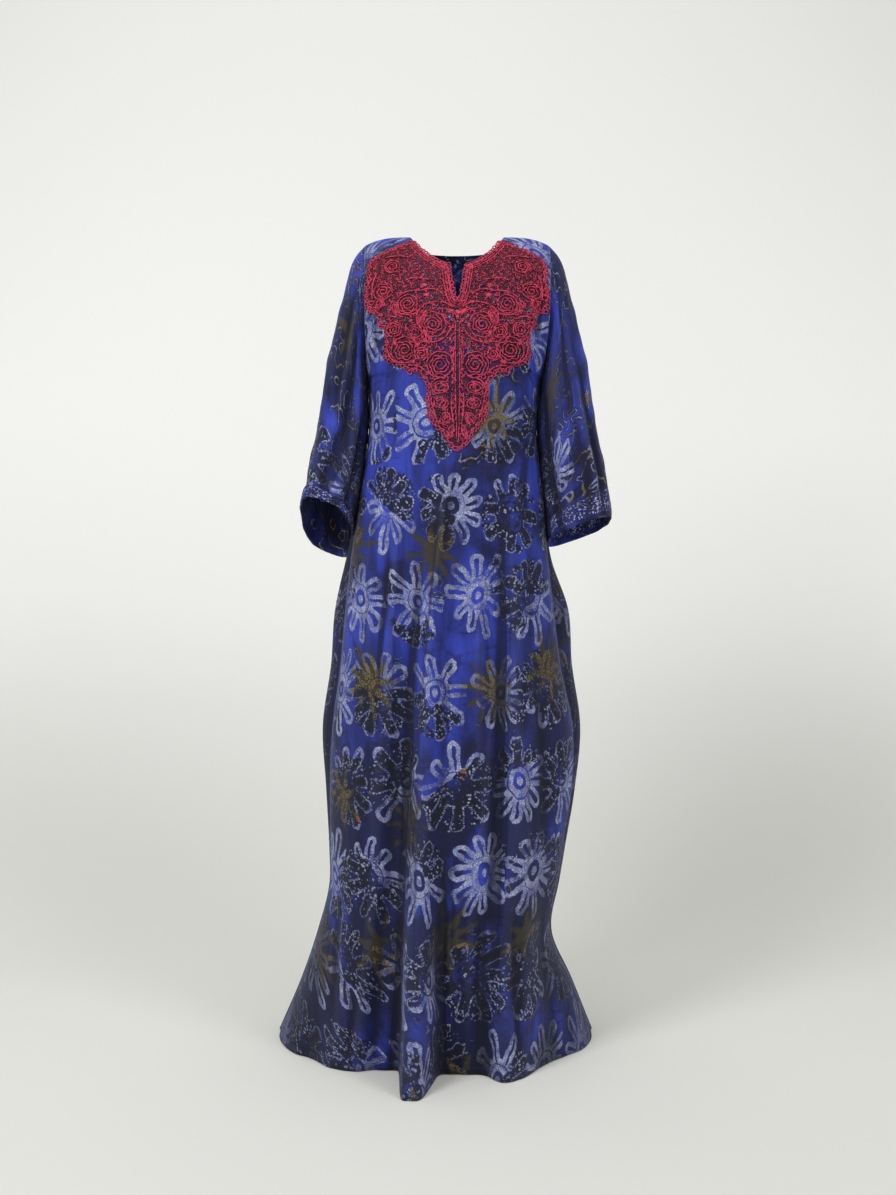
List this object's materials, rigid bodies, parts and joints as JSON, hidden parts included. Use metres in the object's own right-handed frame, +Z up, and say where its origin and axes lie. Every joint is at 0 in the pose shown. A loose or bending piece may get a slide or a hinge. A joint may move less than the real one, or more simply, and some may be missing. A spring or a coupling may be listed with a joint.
{
  "type": "kaftan",
  "caption": "Long worn kaftan in blue batik cotton with wide open sleeves, a slit neckline, a crimson lace yoke and a floor-length flared hem.",
  "frame": {"origin": "where the wearer's shoulders hold the garment: midway between the two sides of the neck opening, on the line of the shoulder seams", "axes": "+X towards the right-hand side of the picture, -Y towards the front of the garment, +Z up"},
  "size_m": [0.6288, 0.6061, 1.5019],
  "materials": {
    "batik": "matt wax-resist printed cotton",
    "lace": "corded guipure lace with a slight sheen"
  },
  "bodies": {
    "root": {"front_panel": "batik", "back_panel": "batik", "left_sleeve": "batik", "right_sleeve": "batik", "lace_yoke": "lace"}
  },
  "joints": []
}
